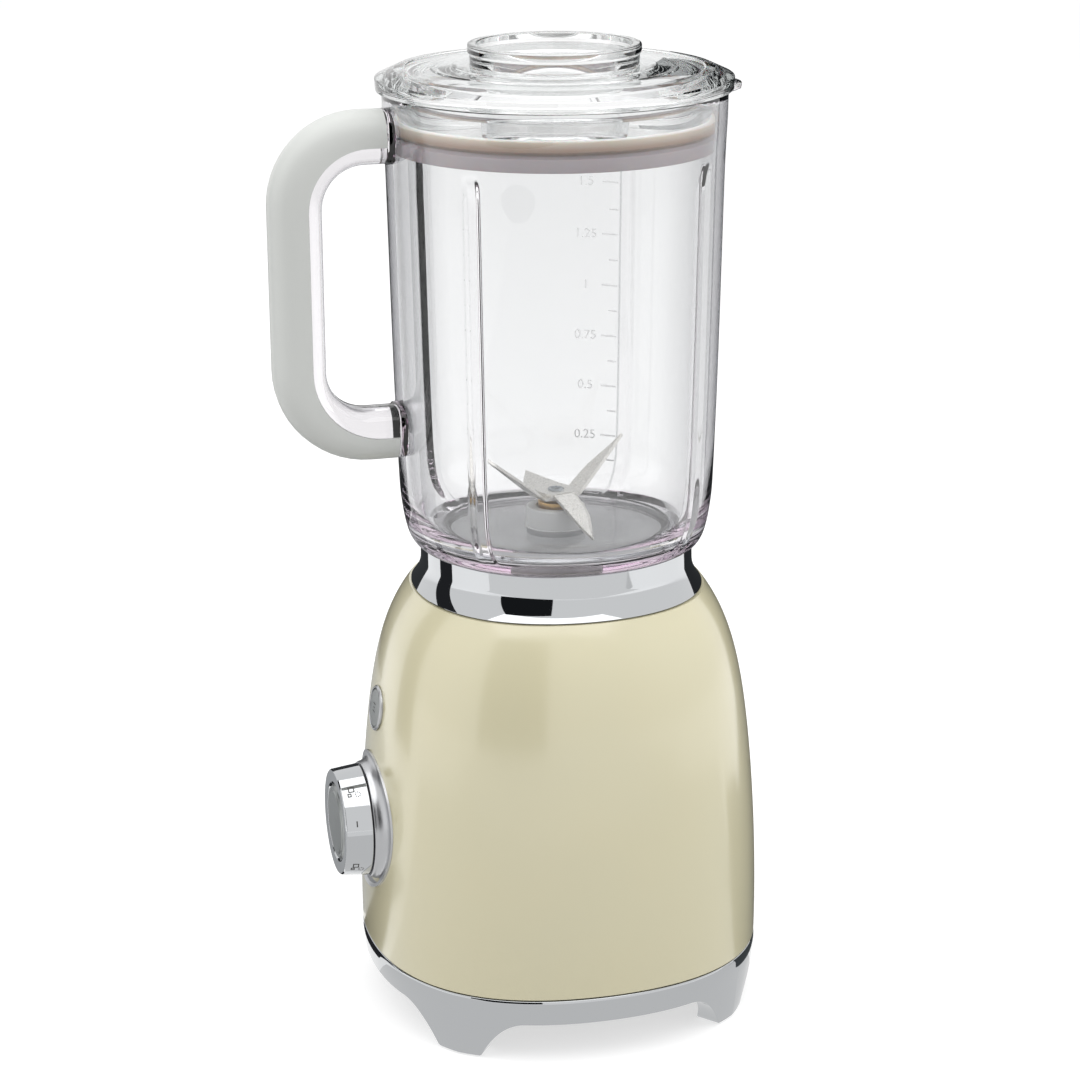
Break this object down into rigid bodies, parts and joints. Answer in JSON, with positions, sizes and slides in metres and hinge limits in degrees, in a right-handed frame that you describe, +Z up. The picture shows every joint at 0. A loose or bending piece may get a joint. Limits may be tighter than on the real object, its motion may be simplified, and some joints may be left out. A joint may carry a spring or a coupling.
{
  "type": "countertop blender",
  "caption": "Countertop blender: enamelled motor base with knob and pulse button, chrome collar and feet, clear lift-off jug with grip handle, blades, lid and cap.",
  "frame": {"origin": "middle of the whole blender's footprint box, at table level; the drive axis stands 15.9 mm behind it", "axes": "+Z up along the drive axis; -Y is the front, with the knob, the pulse button and the jug's handle; +X is the user's right"},
  "size_m": [0.1628, 0.1978, 0.397],
  "materials": {
    "cream_enamel": "gloss enamel on die-cast metal",
    "chrome": "mirror plated",
    "satin_silver": "satin",
    "satin_grey": "satin, turned",
    "black_rubber": "matte",
    "black_plastic": "moulded",
    "grey_plastic": "moulded",
    "white_plastic": "moulded",
    "grip_plastic": "satin moulded",
    "clear_plastic": "clear, polished",
    "silicone": "soft, matte",
    "steel": "turned",
    "blade_steel": "satin, ground edges",
    "zinc_plate": "plated sheet",
    "bronze": "sintered",
    "brass": "turned",
    "copper": "enamelled wire and bars",
    "carbon": "pressed carbon",
    "board": "lacquered board"
  },
  "bodies": {
    "base": {"motor_housing": "cream_enamel", "collar": "chrome", "base_ring": "chrome", "foot_pads": "black_rubber", "bottom_cover": "black_plastic", "base_screws": "steel", "cord_inlet": "black_rubber", "jug_seat": "black_plastic", "upper_bracket": "zinc_plate", "lower_bracket": "zinc_plate", "upper_bearing": "bronze", "lower_bearing": "bronze", "stator": "zinc_plate", "stator_windings": "copper", "brush_holders": "brass", "carbon_brushes": "carbon", "motor_screws": "steel", "motor_mounts": "black_rubber", "air_baffle": "black_plastic", "circuit_board": "board", "rotary_switch": "black_plastic", "button_switch": "black_plastic", "button_spring": "steel", "interlock_switch": "black_plastic", "interlock_spring": "steel", "knob_bezel": "satin_silver", "button_ring": "satin_silver"},
    "rotor": {"motor_shaft": "steel", "armature": "zinc_plate", "commutator": "copper", "cooling_fan": "black_plastic", "drive_coupler": "black_plastic"},
    "interlock": {"interlock_pin": "white_plastic"},
    "speed_knob": {"knob": "chrome", "knob_insert": "satin_grey"},
    "button": {"pulse_button": "satin_silver"},
    "jug_unit": {"jug": "clear_plastic", "handle_core": "clear_plastic", "handle_grip": "grip_plastic", "blade_carrier": "grey_plastic", "carrier_gasket": "silicone", "carrier_nut": "grey_plastic", "blade_bushing": "brass", "shaft_seal": "black_rubber"},
    "blades": {"blade_shaft": "steel", "lower_blade": "blade_steel", "upper_blade": "blade_steel", "blade_bolt": "steel", "jug_coupler": "black_plastic"},
    "lid_unit": {"lid": "clear_plastic", "lid_gasket": "silicone"},
    "cap": {"measuring_cap": "clear_plastic"}
  },
  "joints": [
    {"name": "jug_lift", "type": "slide", "parent": "base", "child": "jug_unit", "axis": [0, 0, 1], "range_m": [0, 0.06]},
    {"name": "lid_lift", "type": "slide", "parent": "jug_unit", "child": "lid_unit", "axis": [0, 0, 1], "range_m": [0, 0.05]},
    {"name": "cap_lift", "type": "slide", "parent": "lid_unit", "child": "cap", "axis": [0, 0, 1], "range_m": [0, 0.04]},
    {"name": "motor_spin", "type": "hinge", "parent": "base", "child": "rotor", "pos_m": [0, 0.0159, 0.1], "axis": [0, 0, 1], "continuous": true},
    {"name": "blade_spin", "type": "hinge", "parent": "jug_unit", "child": "blades", "pos_m": [0, 0.0159, 0.2], "axis": [0, 0, 1], "continuous": true},
    {"name": "knob_turn", "type": "hinge", "parent": "base", "child": "speed_knob", "pos_m": [0, -0.0641, 0.082], "axis": [0, -1, 0], "range_deg": [0, 150]},
    {"name": "button_press", "type": "slide", "parent": "base", "child": "button", "axis": [0, 0.9903, -0.1392], "range_m": [0, 0.002], "stiffness_N_per_m": 400},
    {"name": "interlock_rise", "type": "slide", "parent": "base", "child": "interlock", "axis": [0, 0, 1], "range_m": [0, 0.003]}
  ],
  "couplings": [
    {"joint": "blade_spin", "follows": "motor_spin", "ratio": 1},
    {"joint": "interlock_rise", "follows": "jug_lift", "ratio": 0.05}
  ]
}
